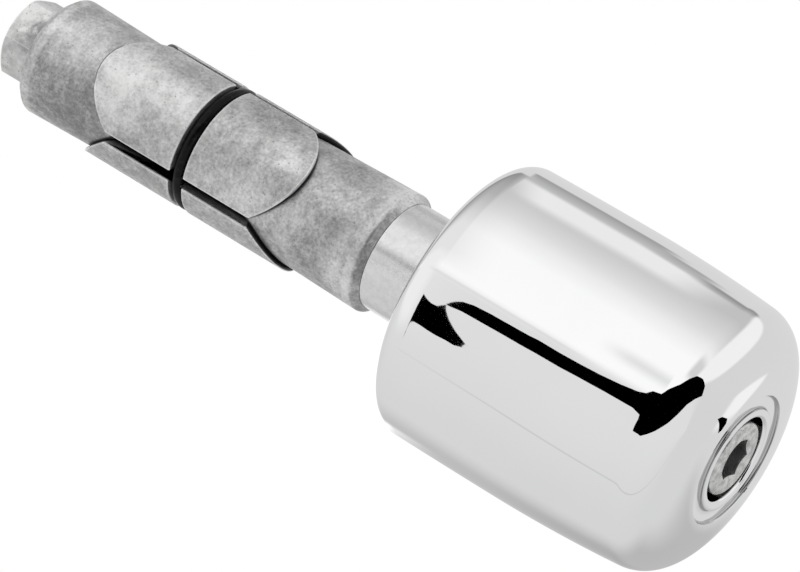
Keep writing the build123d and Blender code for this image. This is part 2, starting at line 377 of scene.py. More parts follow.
def polished_chrome():
    """Bright chrome over polished steel, with the faintest buffing marks."""
    finish = Finish(bpy.data.materials.new("polished chrome"))
    buffing = finish.noise(2.2, detail=4.0, stretch=(1, 1, 0.25))
    haze = finish.noise(0.09, detail=2.0, shift=3.0)
    roughness = 0.008 + buffing * 0.008 + haze.between(0.5, 0.8) * 0.01
    ripple = finish.noise(0.16, detail=1.0, shift=1.0)
    shade = finish.tint(haze, (0.86, 0.865, 0.87), (0.90, 0.90, 0.895))
    # painted shade in the two corners of the face's groove, and not above it
    inner, outer = GROOVE_RADII
    reach = finish.reach()
    painted_groove_shade = 0.0
    for corner in (inner + 0.1, outer - 0.1):
        painted_groove_shade = 1.0 - (reach - corner).math("ABSOLUTE").between(0.08, 0.2) + painted_groove_shade
    painted_groove_shade = painted_groove_shade * (1.0 - finish.height().between(0.5, 0.6))
    shade = finish.over(shade, painted_groove_shade * 0.6, (0.25, 0.25, 0.25))
    return finish.surface(
        Base_Color=shade, Metallic=1.0, Roughness=roughness,
        Normal=finish.relief(ripple, 0.0006),
    )


barrel = weight_outline()
turn(barrel, WEIGHT_FACETS)
settle(
    barrel, "chromed_weight", "weight", "weight_and_near_wedge",
    polished_chrome(),
)

# The clamp screw
# A socket head cap screw in plated steel that runs the whole length of the part. Its head sits
# in the weight's counterbore, and a hexagon key turns it.
HEAD_RADIUS, HEAD_TOP, HEAD_EDGE = 5.0, 0.1, 0.55
SHANK_RADIUS, SCREW_END, SCREW_END_CHAMFER = 3.0, 112.45, 0.6
SOCKET_FLAT, SOCKET_FLOOR, SOCKET_MOUTH = 2.5, 3.3, 2.95
SOCKET_TURN = math.radians(-13.6)
SOCKET_DRILL, SOCKET_POINT, MOUTH_DEPTH, MOUTH_SLOPE = 1.2, 0.35, 0.3, 0.6
HEX_FACETS = 96
# A row of points this much further out can be told from its neighbour.
APART = 0.002
# Heights between which the shank is given painted shade, where it shows through the slots.
SLOT_SHADE_FROM, SLOT_SHADE_TO = 57, 103


def hexagon_reach(flat, point):
    """How far a hexagon's side is from the axis in the direction of a point."""
    direction = math.atan2(point.y, point.x) % (math.pi / 3)
    return flat / math.cos(direction - math.pi / 6)


def push_to_hexagon(verts, flat):
    """Move a turned wall's points straight out or in until they lie on a hexagon."""
    for vert in verts:
        reach = hexagon_reach(flat, vert.co)
        planar = Vector((vert.co.x, vert.co.y)).normalized() * reach
        vert.co.x, vert.co.y = planar


def out_from_axis(vert):
    """How far a point is from the part's axis."""
    return math.hypot(vert.co.x, vert.co.y)


def rows_at(mesh, radius):
    """The points of a turned mesh that lie at a radius."""
    return [vert for vert in mesh.verts if abs(out_from_axis(vert) - radius) < APART / 2]


def screw_mesh():
    """The screw, from the floor of its socket round to its far end."""
    mesh = bmesh.new()
    pen = draw_to(mesh, None, 0, SOCKET_FLOOR + SOCKET_POINT)
    pen = draw_to(mesh, pen, SOCKET_DRILL, SOCKET_FLOOR)
    pen = draw_to(mesh, pen, SOCKET_FLAT, SOCKET_FLOOR)
    pen = draw_to(mesh, pen, SOCKET_FLAT + APART, HEAD_TOP + MOUTH_DEPTH)
    pen = draw_to(mesh, pen, SOCKET_MOUTH, HEAD_TOP)
    pen = draw_to(mesh, pen, HEAD_RADIUS - HEAD_EDGE, HEAD_TOP)
    pen = sweep(mesh, pen, HEAD_RADIUS - HEAD_EDGE, HEAD_TOP + HEAD_EDGE, 90, 8)
    pen = draw_to(mesh, pen, HEAD_RADIUS, SCREW_SEAT)
    pen = draw_to(mesh, pen, SHANK_RADIUS, SCREW_SEAT)
    pen = draw_to(mesh, pen, SHANK_RADIUS, SCREW_END - SCREW_END_CHAMFER)
    pen = draw_to(mesh, pen, SHANK_RADIUS - SCREW_END_CHAMFER, SCREW_END)
    draw_to(mesh, pen, 0, SCREW_END)
    turn(mesh, HEX_FACETS)
    push_to_hexagon(rows_at(mesh, SOCKET_FLAT), SOCKET_FLAT)
    mouth = rows_at(mesh, SOCKET_FLAT + APART)
    push_to_hexagon(mouth, SOCKET_FLAT)
    for vert in mouth:
        reach = out_from_axis(vert)
        vert.co.z = HEAD_TOP + (SOCKET_MOUTH - reach) * MOUTH_SLOPE
    bmesh.ops.rotate(
        mesh, cent=(0, 0, 0), matrix=Matrix.Rotation(SOCKET_TURN, 3, "Z"), verts=mesh.verts,
    )
    return mesh


def plated_steel(name, dark, light, contrast, spots, shaded_recesses):
    """Zinc plate over steel, freckled where thin and smudged with oil, with painted light and
    shade where asked.
    """
    finish = Finish(bpy.data.materials.new(name))
    cloud = finish.noise(0.9, detail=4.0)
    freckles = finish.specks(2.4, 0.34) * finish.noise(1.1, shift=5.0).between(0.46, 0.6)
    # cloudy smudges, with any spots given laid in as painted light and shade
    smudges_and_painted_shade = ((cloud - 0.5) * contrast + finish.marks(5.4, spots)).between(-0.5, 0.5)
    shade = finish.tint(smudges_and_painted_shade, dark, light)
    shade = finish.over(shade, freckles * 0.6, (0.16, 0.155, 0.15))
    shade = finish.over(shade, finish.worn_edges(0.3) * 0.8, (0.93, 0.93, 0.92))
    if shaded_recesses:
        # painted shade down the socket, and on the shank where it shows through the expander's
        # slots
        height = finish.height()
        socket_shade = height.between(HEAD_TOP + 0.1, HEAD_TOP + 0.6)
        socket_shade = socket_shade * (1.0 - finish.reach().between(SOCKET_MOUTH, SOCKET_MOUTH + 0.1))
        shade = finish.over(shade, socket_shade * 0.7, (0.2, 0.2, 0.2))
        slot_shade = height.within(SLOT_SHADE_FROM, SLOT_SHADE_TO, 1, 1)
        shade = finish.over(shade, slot_shade * 0.95, (0.02, 0.02, 0.02))
    grain = finish.noise(6.0, detail=3.0)
    return finish.surface(
        Base_Color=shade, Metallic=0.9, Roughness=0.28 + cloud * 0.16,
        Normal=finish.relief(grain - freckles * 0.6, 0.012, 0.6),
    )


settle(
    screw_mesh(), "cap_screw", "clamp_screw", "screw",
    plated_steel("screw plating", (0.34, 0.34, 0.335), (0.86, 0.86, 0.85), 1.6, (), True),
)

# The spacer
# A short tube of aluminium bar, faced and turned bright, that keeps the expander off the weight.
# It stands in a shallow seat and the screw clamps it there.
SPACER_RADIUS, SPACER_TOP, SPACER_EDGE, SPACER_TOP_EDGE = 7.4, 52.15, 0.2, 0.06
SPACER_FACETS = 160


def turned_aluminium():
    """Bright turned aluminium with the tool's fine rings and a few scuffs."""
    finish = Finish(bpy.data.materials.new("turned aluminium"))
    rings = finish.noise(5.0, detail=3.0, stretch=(0.02, 0.02, 1.0))
    cloud = finish.noise(1.1, detail=5.0, roughness=0.65, shift=2.0).between(0.25, 0.75)
    scuffs = finish.noise(1.4, detail=2.0, stretch=(1, 1, 0.12), shift=8.0).between(0.6, 0.72)
    edges = finish.worn_edges(0.3)
    shade = finish.tint(cloud, (0.70, 0.70, 0.705), (0.81, 0.81, 0.805))
    shade = finish.over(shade, edges * 0.8, (0.94, 0.94, 0.93))
    return finish.surface(
        Base_Color=shade, Metallic=1.0, Roughness=0.17 + rings * 0.08 + scuffs * 0.12,
        Normal=finish.relief(rings + scuffs * 0.5, 0.006, 0.7),
    )


spacer = closed_outline([
    (PASSAGE_RADIUS, SPACER_SEAT),
    (SPACER_RADIUS - SPACER_EDGE, SPACER_SEAT),
    (SPACER_RADIUS, SPACER_SEAT + SPACER_EDGE),
    (SPACER_RADIUS, SPACER_TOP - SPACER_TOP_EDGE),
    (SPACER_RADIUS - SPACER_TOP_EDGE, SPACER_TOP),
    (PASSAGE_RADIUS, SPACER_TOP),
])
turn(spacer, SPACER_FACETS)
settle(
    spacer, "turned_spacer", "spacer", "weight_and_near_wedge",
    turned_aluminium(),
)

# The near wedge
# Die-cast aluminium, tumbled after casting: a collar with three flat ramps that the shoes ride
# up. The screw clamps it against the spacer.
SHOE_RADIUS = 8.73
RAMP = math.radians(38)
WEDGE_DRAFT = math.tan(math.radians(1.5))
WEDGE_CHAMFER, WEDGE_EDGE = 0.8, 0.55
CHAMFER_LEAN = math.sqrt(0.5)
# The ramps run in until they are this far from the axis.
RAMP_INNER = 3.9
TIP_SETBACK = 0.473
RAMP_GAP = 0.04 / math.sin(RAMP)
CAST_EDGE = 0.2
# Edges this near to a bore or a nose are hidden, and stay as they are cut.
INNER_MARGIN = 0.3
NEAR_WEDGE_RADIUS, NEAR_COLLAR = 8.3, 12.4
SHOE_MIDDLE, RAMP_FROM_MIDDLE = 80.7, 16.69


def shoe_direction(index):
    """The way that a shoe faces, the first one towards -Y."""
    angle = math.radians(-90 + 120 * index)
    return Vector((math.cos(angle), math.sin(angle), 0))


def slice_off(mesh, point, outward):
    """Saw a piece flat through a point and close the cut. Returns the edges round the cut."""
    cut = bmesh.ops.bisect_plane(
        mesh, geom=mesh.verts[:] + mesh.edges[:] + mesh.faces[:], dist=ONE_POINT,
        plane_co=point, plane_no=outward, clear_outer=True,
    )
    rim = [part for part in cut["geom_cut"] if isinstance(part, bmesh.types.BMEdge)]
    bmesh.ops.holes_fill(mesh, edges=rim, sides=0)
    return [edge for edge in rim if edge.is_valid]


def soften(mesh, edges, width):
    """Round off edges as tumbling does."""
    bmesh.ops.bevel(
        mesh, geom=edges, offset=width, offset_type="OFFSET", segments=3,
        profile=0.5, affect="EDGES", material=-1, clamp_overlap=False,
    )


def sharp_edges(mesh, degrees):
    """The edges where two faces meet with more turn than this."""
    limit = math.radians(degrees)
    return [e for e in mesh.edges if e.is_manifold and e.calc_face_angle(0) > limit]


def wedge_mesh(radius, collar, bore_rows):
    """A wedge with its outer end at z = 0, pointing up."""
    foot = collar - TIP_SETBACK - RAMP_GAP
    nose = foot + (SHOE_RADIUS - RAMP_INNER) / math.tan(RAMP)
    rim = radius - WEDGE_CHAMFER * WEDGE_DRAFT
    mesh = bmesh.new()
    first = pen = draw_to(mesh, None, PASSAGE_RADIUS, nose)
    for bore_radius, height in bore_rows:
        pen = draw_to(mesh, pen, bore_radius, height)
    pen = draw_to(mesh, pen, radius - WEDGE_CHAMFER, 0)
    setback = WEDGE_EDGE * math.tan(math.radians(45 / 2)) * CHAMFER_LEAN
    inward = WEDGE_EDGE * CHAMFER_LEAN
    pen = draw_to(mesh, pen, rim - setback, WEDGE_CHAMFER - setback)
    pen = sweep(mesh, pen, rim - setback - inward, WEDGE_CHAMFER - setback + inward, 45, 4)
    pen = draw_to(mesh, pen, radius - nose * WEDGE_DRAFT, nose)
    mesh.edges.new((pen, first))
    turn(mesh, HEX_FACETS)
    for index in range(3):
        facing = shoe_direction(index)
        slice_off(
            mesh, facing * SHOE_RADIUS + AXIS * foot,
            facing * math.cos(RAMP) + AXIS * math.sin(RAMP),
        )
    soften(mesh, [
        edge for edge in sharp_edges(mesh, 30)
        if min(vert.co.z for vert in edge.verts) > foot * 0.4
        and min(out_from_axis(vert) for vert in edge.verts) > RAMP_INNER + INNER_MARGIN
        and max(vert.co.z for vert in edge.verts) < nose - INNER_MARGIN
    ], CAST_EDGE)
    return mesh


def above_ramps(finish):
    """Millimetres above the nearest of the ramps' planes, measured square to it."""
    apart = RAMP_FROM_MIDDLE - (finish.height() - SHOE_MIDDLE).math("ABSOLUTE")
    nearest = None
    for index in range(3):
        across = finish.node("ShaderNodeVectorMath", {"operation": "DOT_PRODUCT"}, {
            0: finish.place(), 1: shoe_direction(index) * (math.cos(RAMP) / MM),
        }, output="Value")
        nearest = across if nearest is None else nearest.math("MAXIMUM", across)
    return nearest - SHOE_RADIUS * math.cos(RAMP) + apart * math.sin(RAMP)


def tumbled_casting(name, dark, light, shift, radius, shade_below_radius, spots, shade_and_highlight_bands=()):
    """Grey die-cast aluminium: cloudy, pitted, rubbed bright on its edges, painted shade within.
    """
    finish = Finish(bpy.data.materials.new(name))
    tone = finish.noise(0.14, detail=2.0, shift=shift)
    cloud = finish.noise(0.6, detail=5.0, roughness=0.65, shift=shift)
    fine = finish.noise(2.4, detail=4.5, roughness=0.66, shift=shift + 1.0)
    blend = tone * 0.2 + cloud * 0.45 + fine * 0.5 - 0.075 + finish.marks(radius, spots)
    height = finish.height() if shade_and_highlight_bands else None
    # bands round the piece at given heights: painted shade and painted highlights
    for low, high, strength in shade_and_highlight_bands:
        blend = blend + height.within(low - 0.075, high + 0.075, 0.175, 0.175) * strength
    shade = finish.tint(blend.between(0.2, 0.86), dark, light)
    edges = finish.worn_edges(0.45) * (0.45 + fine * 0.9)
    shade = finish.over(shade, edges, (0.88, 0.88, 0.88))
    pits = finish.specks(1.7, 0.24) * finish.noise(0.8, shift=shift + 4.0).between(0.5, 0.58)
    scratches = finish.noise(0.55, detail=1.0, stretch=(1, 1, 0.5), shift=shift + 9.0) - 0.5
    scratches = 1.0 - scratches.math("ABSOLUTE").between(0.001, 0.006)
    scratches = scratches * finish.noise(0.5, shift=shift + 6.0).between(0.5, 0.62)
    shade = finish.over(shade, pits * 0.5 + scratches * 0.4, (0.14, 0.14, 0.14))
    # painted shade on the ramps, a thin painted shadow along their rims, and painted shade deep in
    # the shoes' slots
    if shade_below_radius:
        ramp_and_slot_shade = 1.0 - finish.reach().between(shade_below_radius - 1.5, shade_below_radius - 0.6)
        ramp_and_slot_shade = ramp_and_slot_shade.math("MAXIMUM", 1.0 - above_ramps(finish).between(0.12, 0.26))
    else:
        ramp_and_slot_shade = above_ramps(finish).between(-0.5, -0.2)
    shade = finish.over(shade, ramp_and_slot_shade * 0.92, (0.02, 0.02, 0.02))
    return finish.surface(
        Base_Color=shade, Metallic=0.8, Roughness=0.44 - edges * 0.1,
        Normal=finish.relief(fine * 1.4 + cloud * 0.6 - pits * 1.2 - scratches * 0.5, 0.035, 0.6),
    )


CASTING_DARK, CASTING_LIGHT = (0.20, 0.20, 0.20), (0.82, 0.82, 0.815)
wedge_casting = tumbled_casting(
    "wedge casting", CASTING_DARK, CASTING_LIGHT, 0.0, NEAR_WEDGE_RADIUS, None, (
        # spots: the light ones round at -86 degrees are painted highlight, the dark ones round at
        # -145 to -154 degrees painted shade down that side, the rest blotches of tone
        (-147, 101.5, 9, -0.08), (-149, 95, 9, -0.1), (-86, 101.5, 7.5, 0.11),
        (-60, 101, 6, -0.03), (-154, 54.6, 4.5, 0.16), (-86, 59.2, 3.5, 0.05),
        (-128, 64.8, 4.5, 0.05), (-145, 59.3, 5, -0.06), (-42, 62.7, 7, -0.01),
        (-109, 57.5, 3.5, -0.05), (-38, 52.6, 6, 0.2), (-150, 51.9, 5, -0.13),
        (-118, 51.9, 3, -0.08),
    ), (
        # painted shade on the near wedge's end chamfer, and painted highlights along the near and
        # far lips
        (SPACER_TOP - 1, SPACER_TOP + 0.75, -0.03), (SPACER_TOP + 1.1, SPACER_TOP + 2.2, 0.09),
        (105.3, 106.3, 0.08),
    ),
)
near_wedge = wedge_mesh(NEAR_WEDGE_RADIUS, NEAR_COLLAR, ((PASSAGE_RADIUS, 0),))
bmesh.ops.translate(near_wedge, vec=AXIS * SPACER_TOP, verts=near_wedge.verts)
settle(
    near_wedge, "near_wedge_casting", "near_wedge", "weight_and_near_wedge",
    wedge_casting,
)

# The three expander shoes
# Die-cast aluminium like the wedges, each a third of a tube with both ends cut to the ramps and
# a groove round the middle. They lie loose on the wedges, held by the rubber ring.
SHOE_BORE = 4.2
SHOE_HALF = 16.15 + TIP_SETBACK
GROOVE_HALF, GROOVE_FLOOR = 1.05, 7.03
SHOE_GAP = 1.5
SHOE_TIP = 0.47
# A shoe is turned a little wider than a third, and its sides are then sawn off.
SHOE_SECTOR, SHOE_FACETS = math.radians(66), 44


def shoe_mesh():
    """The shoe on -Y."""
    low, high = SHOE_MIDDLE - SHOE_HALF - 1, SHOE_MIDDLE + SHOE_HALF + 1
    mesh = closed_outline([
        (SHOE_BORE, low), (SHOE_RADIUS, low),
        (SHOE_RADIUS, SHOE_MIDDLE - GROOVE_HALF), (GROOVE_FLOOR, SHOE_MIDDLE - GROOVE_HALF),
        (GROOVE_FLOOR, SHOE_MIDDLE + GROOVE_HALF), (SHOE_RADIUS, SHOE_MIDDLE + GROOVE_HALF),
        (SHOE_RADIUS, high), (SHOE_BORE, high),
    ])
    facing = shoe_direction(0)
    turn_sector(mesh, facing, SHOE_SECTOR, SHOE_FACETS)
    tips = []
    for side in (-1, 1):
        rim = slice_off(
            mesh, facing * SHOE_RADIUS + AXIS * (SHOE_MIDDLE + side * SHOE_HALF),
            AXIS * side * math.sin(RAMP) - facing * math.cos(RAMP),
        )
        tips += [
            edge for edge in rim
            if all(out_from_axis(vert) > SHOE_RADIUS - 0.05 for vert in edge.verts)
        ]
    bmesh.ops.bevel(
        mesh, geom=tips, offset=SHOE_TIP, offset_type="WIDTH", segments=5, profile=0.5,
        affect="EDGES", material=-1, clamp_overlap=False,
    )
    apex = facing * (SHOE_GAP / 2 / math.sin(math.radians(60)))
    for side in (-1, 1):
        slice_off(mesh, apex, Vector((side * 0.5, math.sqrt(3) / 2, 0)))
    soften(mesh, [
        edge for edge in sharp_edges(mesh, 40)
        if max(out_from_axis(vert) for vert in edge.verts) > SHOE_BORE + INNER_MARGIN
    ], CAST_EDGE)
    return mesh


shoe_casting = tumbled_casting(
    "shoe casting", CASTING_DARK, CASTING_LIGHT, 7.0, SHOE_RADIUS, SHOE_RADIUS, (
        # spots: the light ones round at -82 to -89 degrees paint the first shoe's highlight down
        # its middle, the rest are blotches of tone
        (-85, 93.6, 5, 0.15), (-85, 89.9, 4, 0.1), (-87, 86.4, 4, 0.07), (-89, 83, 4.5, 0.1),
        (-60, 90, 9, 0.06), (-119, 91.7, 5, 0.09), (-116, 85.3, 4, 0.03), (-106, 94, 4, 0.08),
        (-86, 75.3, 4, 0.05), (-82, 69.8, 3.5, 0.09), (-82, 67, 3, 0.12), (-127, 71.3, 6, 0.08),
        (-54, 75.6, 7, -0.01), (-56, 71, 6, -0.02), (-108, 74.4, 4, -0.02),
    ),
)
for number in (1, 2, 3):
    shoe = shoe_mesh()
    bmesh.ops.rotate(
        shoe, cent=(0, 0, 0), matrix=Matrix.Rotation(math.radians(120 * (number - 1)), 3, "Z"),
        verts=shoe.verts,
    )
    settle(
        shoe, f"shoe_casting_{number}", f"expander_shoe_{number}", f"shoe_{number}",
        shoe_casting,
    )

# The ring
# A black rubber O-ring in the shoes' groove. It keeps the three shoes on the ramps until the
# anchor is in the tube, and stretches as they spread: a third of it goes with each shoe, and
# slimmer ends reach into the next third, so that it stays whole across the open slots.
RING_RADIUS, RING_SECTION = 7.85, 0.8
RING_THIRD, RING_REACH, RING_SLIMMING = math.radians(60), math.radians(6), 0.97


def black_rubber():
    """Matt black rubber with a little dust on it."""
    finish = Finish(bpy.data.materials.new("black rubber"))
    dust = finish.noise(1.2, detail=5.0).between(0.5, 0.75)
    shade = finish.tint(dust, (0.002, 0.002, 0.002), (0.012, 0.012, 0.012))
    grain = finish.noise(7.0, detail=2.0)
    return finish.surface(
        Base_Color=shade, Metallic=0.0, Specular_IOR_Level=0.13, Roughness=0.24 + dust * 0.2,
        Normal=finish.relief(grain, 0.012, 0.5),
    )


def ring_third(facing):
    """A third of the ring about a shoe's direction, with slimmer ends past it."""
    mesh = bmesh.new()
    bmesh.ops.create_circle(mesh, radius=RING_SECTION, segments=28)
    bmesh.ops.rotate(
        mesh, cent=(0, 0, 0), matrix=Matrix.Rotation(math.pi / 2, 3, "X"), verts=mesh.verts,
    )
    bmesh.ops.translate(mesh, vec=(RING_RADIUS, 0, SHOE_MIDDLE), verts=mesh.verts)
    turn_sector(mesh, facing, RING_THIRD + RING_REACH, 66)
    for vert in mesh.verts:
        outward = Vector((vert.co.x, vert.co.y, 0)).normalized()
        if outward.dot(facing) < math.cos(RING_THIRD) - 1e-4:
            middle = outward * RING_RADIUS + AXIS * SHOE_MIDDLE
            vert.co = middle + (vert.co - middle) * RING_SLIMMING
    return mesh


rubber = black_rubber()
for number in (1, 2, 3):
    settle(
        ring_third(shoe_direction(number - 1)), f"rubber_ring_{number}", "o_ring",
        f"shoe_{number}", rubber,
    )

# The far wedge
# The same casting turned over, a little slimmer, with a hexagonal pocket in its outer end that
# keeps the nut from turning. The nut draws it in.
FAR_WEDGE_RADIUS, FAR_COLLAR, FAR_WEDGE_TOP = 8.175, 10.4, 107.25
POCKET_FLAT, POCKET_DEPTH = 5.05, 1.3

far_wedge = wedge_mesh(
    FAR_WEDGE_RADIUS, FAR_COLLAR,
    ((PASSAGE_RADIUS, POCKET_DEPTH), (POCKET_FLAT, POCKET_DEPTH), (POCKET_FLAT + APART, 0)),
)
push_to_hexagon(rows_at(far_wedge, POCKET_FLAT), POCKET_FLAT)
push_to_hexagon(rows_at(far_wedge, POCKET_FLAT + APART), POCKET_FLAT)
bmesh.ops.scale(far_wedge, vec=(1, 1, -1), verts=far_wedge.verts)
bmesh.ops.recalc_face_normals(far_wedge, faces=far_wedge.faces)
bmesh.ops.translate(far_wedge, vec=AXIS * FAR_WEDGE_TOP, verts=far_wedge.verts)
settle(
    far_wedge, "far_wedge_casting", "far_wedge", "far_wedge_and_nut",
    wedge_casting,
)

# The nut
# A plated steel nut with its lower end in the far wedge's pocket. The screw runs in it, so it
# moves with the far wedge.
NUT_FLAT, NUT_BASE, NUT_TOP = 5.0, 105.95, 112.45
NUT_BORE, NUT_COUNTERSINK = 3.04, 0.35
NUT_CHAMFER = math.tan(math.radians(30))


def nut_mesh():
    """The nut: turned, then its wall pushed out to the hexagon below the chamfer's cone."""
    wall = NUT_FLAT + APART
    mesh = closed_outline([
        (NUT_BORE + NUT_COUNTERSINK, NUT_BASE), (NUT_FLAT, NUT_BASE),
        (wall, NUT_BASE), (wall, NUT_TOP),
        (NUT_FLAT, NUT_TOP), (NUT_BORE + NUT_COUNTERSINK, NUT_TOP),
        (NUT_BORE, NUT_TOP - NUT_COUNTERSINK), (NUT_BORE, NUT_BASE + NUT_COUNTERSINK),
    ])
    turn(mesh, HEX_FACETS)
    wall_rows = rows_at(mesh, wall)
    push_to_hexagon(wall_rows, NUT_FLAT)
    for vert in wall_rows:
        drop = (out_from_axis(vert) - NUT_FLAT) * NUT_CHAMFER
        vert.co.z += drop if vert.co.z < (NUT_BASE + NUT_TOP) / 2 else -drop
    return mesh


settle(
    nut_mesh(), "plated_nut", "hex_nut", "far_wedge_and_nut",
    plated_steel("nut plating", (0.30, 0.30, 0.30), (0.86, 0.86, 0.85), 0.7, (
        # two dark spots by the far wedge's rim are a painted shadow of the rim, the light one
        # higher up a painted highlight on the upper facet
        (-84, 108.4, 2.4, -0.4), (-112, 108.6, 2.4, -0.3), (-70, 110.5, 4, 0.25),
    ), False),
)

# The studio
# A pale floor under the part, a white tent of lighter and darker sheets all round it, a soft lamp
# to each side, and three black cards, which the chrome shows as its dark streak and glints.
CAMERA_BEARING = math.radians(-106.2)
VIEW_ACROSS = Vector((math.cos(CAMERA_BEARING), math.sin(CAMERA_BEARING), 0))
VIEW_SIDE = AXIS.cross(VIEW_ACROSS)


def compass(around, below):
    """A direction from degrees round the axis from the camera's side and degrees below level."""
    around, below = math.radians(around), math.radians(below)
    level = VIEW_ACROSS * math.cos(around) + VIEW_SIDE * math.sin(around)
    return level * math.cos(below) - AXIS * math.sin(below)


# The tent's own brightness, and how much brighter it is towards the camera's side.
TENT_BRIGHTNESS, TENT_GLOW = 0.74, 0.075
# Each softbox: where its middle is, then the half-angles at which it begins and is full.
ROUND_SOFTBOX = (84, 20), (0.76, 0.68)
BROAD_SOFTBOX = (58, -38), (1.27, 1.15)
ROUND_BRIGHTNESS, BROAD_BRIGHTNESS = 0.98, 1.09
# Each sheet of the tent: degrees round from the camera's side, degrees below level, how soft its
# left, right, upper and lower edges are, and its brightness at the left and at the right.
SHEETS = (
    ((-177.5, -128), (-26, 33), (2.5, 13, 14, 14), (0.53, 0.53)),
    ((-162, -138), (-20, -7), (9, 8, 6, 6), (0.46, 0.46)),
    ((-178.5, -149), (-50, -22.6), (1.5, 5, 0.8, 0.8), (1.14, 1.14)),
    ((-42, 20), (-75, -25), (12, 3, 2, 2), (0.95, 0.95)),
    ((97, 121), (-23.3, -16.3), (6, 5, 0.5, 2), (0.92, 0.92)),
    ((122, 138.5), (-23.2, -19.4), (4, 1.5, 0.3, 0.8), (0.58, 0.36)),
    ((120, 132.5), (-19.8, -17.2), (3, 1.5, 0.8, 0.8), (0.58, 0.4)),
    ((117, 126), (-17.2, 2), (3, 1.5, 0.8, 4), (0.55, 0.27)),
    ((5.3, 7.6), (-26, -17), (0.8, 0.8, 3, 3), (0.82, 0.82)),
    ((20, 27), (-15, -8), (5, 5, 2, 2), (0.82, 0.82)),
    ((36, 57), (12, 34), (5, 6, 6, 4), (0.70, 0.72)),
    ((167.8, 177), (28.5, 43.5), (1.2, 1.5, 1.2, 3), (0.98, 0.98)),
)
# How the broad softbox's light falls off to the right, and that of the sheet in front of it, each
# over a span of this many degrees.
FALL_SPAN = 128
SOFTBOX_FALL = (
    (0.0, 1.0), (0.38, 0.98), (0.5, 0.86), (0.58, 0.74), (0.66, 0.66), (0.8, 0.55), (0.92, 0.54),
    (0.97, 0.46),
)
FRONT_FALL = (
    (0.0, 0.95), (0.15, 0.95), (0.2, 0.87), (0.39, 0.86), (0.45, 0.79), (0.52, 0.7), (0.6, 0.59),
    (0.68, 0.5), (0.78, 0.45), (0.86, 0.39), (0.92, 0.34), (0.985, 0.31),
)
FRONT_SHEET = (16, 127), -24
JOIN_AT, JOIN_LEAN, JOIN_DARKNESS = -66, -0.2, 0.12


def along(finish, direction, axis):
    """How nearly a direction agrees with another, as a cosine."""
    return finish.node("ShaderNodeVectorMath", {"operation": "DOT_PRODUCT"}, {
        0: direction, 1: axis,
    }, output="Value")


def softbox(finish, direction, middle, half_angles):
    """1 inside a round softbox of the tent's and 0 outside it."""
    begins, full = half_angles
    return along(finish, direction, compass(*middle)).between(math.cos(begins), math.cos(full))


def tent():
    """White surroundings for the camera, and the tent's lighter and darker sheets for the rest."""
    world = bpy.data.worlds.new("white tent")
    bpy.context.scene.world = world
    finish = Finish(world)
    direction = finish.node("ShaderNodeTexCoord", output="Generated")
    across, sideways, upward = (
        along(finish, direction, axis) for axis in (VIEW_ACROSS, VIEW_SIDE, AXIS)
    )
    around = sideways.math("ARCTAN2", across) * math.degrees(1)
    below = upward.math("ARCSINE") * -math.degrees(1)
    level = TENT_BRIGHTNESS + around.within(-67.5, 52.5, 52.5, 22.5) * TENT_GLOW
    # two softboxes on the lamp's side: a round one, and a broad one in front of it
    round_one = softbox(finish, direction, *ROUND_SOFTBOX)
    level = level + round_one * (ROUND_BRIGHTNESS - level)
    broad_one = softbox(finish, direction, *BROAD_SOFTBOX) * around.within(7.5, 126.5, 4.5, 2.5)
    over_span = around * (1 / FALL_SPAN)
    fall = finish.node("ShaderNodeValToRGB", {"stops": SOFTBOX_FALL}, {0: over_span})
    level = level + broad_one * (fall * BROAD_BRIGHTNESS - level)
    (left, right), low = FRONT_SHEET
    front = around.within(left, right, 4, 1.5) * (1.0 - below.between(low - 0.9, low + 0.9))
    fall = finish.node("ShaderNodeValToRGB", {"stops": FRONT_FALL}, {0: over_span})
    level = level + front * (fall - level)
    for (left, right), (high, low), soft, (start, end) in SHEETS:
        inside = around.within(left, right, *soft[:2]) * below.within(high, low, *soft[2:])
        brightness = (around - left) * ((end - start) / (right - left)) + start
        level = level + inside * (brightness - level)
    # the join of two sheets, a thin grey line down the left of the streak
    join = 1.0 - (around - below * JOIN_LEAN - JOIN_AT).math("ABSOLUTE").between(0.2, 1.1)
    level = level - join * below.between(-26, -20) * JOIN_DARKNESS
    for_camera = finish.node("ShaderNodeLightPath", output="Is Camera Ray")
    background = finish.node("ShaderNodeBackground", None, {
        "Color": (1.0, 1.0, 1.0, 1.0), "Strength": level + for_camera * (1.0 - level),
    })
    finish.node("ShaderNodeOutputWorld", None, {"Surface": background})


CARD_DISTANCE = 2.5
# The floor lies a hair below the part's face. It fades between two distances, in millimetres.
FLOOR_RADIUS, FLOOR_DROP, FLOOR_FADE = 0.95, 0.00005, (400, 902.5)
LAMP_DISTANCE, LAMP_AIM = 0.9, 0.055


def hide_from_all_but(thing, *rays):
    """Let only these kinds of ray meet a thing of the studio's."""
    for ray in ("camera", "diffuse", "glossy", "transmission", "volume_scatter", "shadow"):
        setattr(thing, f"visible_{ray}", ray in rays)


def black_card(name, around, below, corners):
    """A flat black card facing the part, cut to corners given on a distance of one."""
    facing = compass(around, below)
    across = AXIS.cross(facing).normalized()
    upward = facing.cross(across)
    mesh = bmesh.new()
    mesh.faces.new([
        mesh.verts.new((facing + across * right + upward * up) * CARD_DISTANCE)
        for right, up in corners
    ])
    finish = Finish(bpy.data.materials.new(name))
    black = finish.node("ShaderNodeBsdfDiffuse", None, {"Color": (0.0, 0.0, 0.0, 1.0)})
    finish.node("ShaderNodeOutputMaterial", None, {"Surface": black})
    card = stand_up(mesh, name, finish.owner)
    hide_from_all_but(card, "glossy")


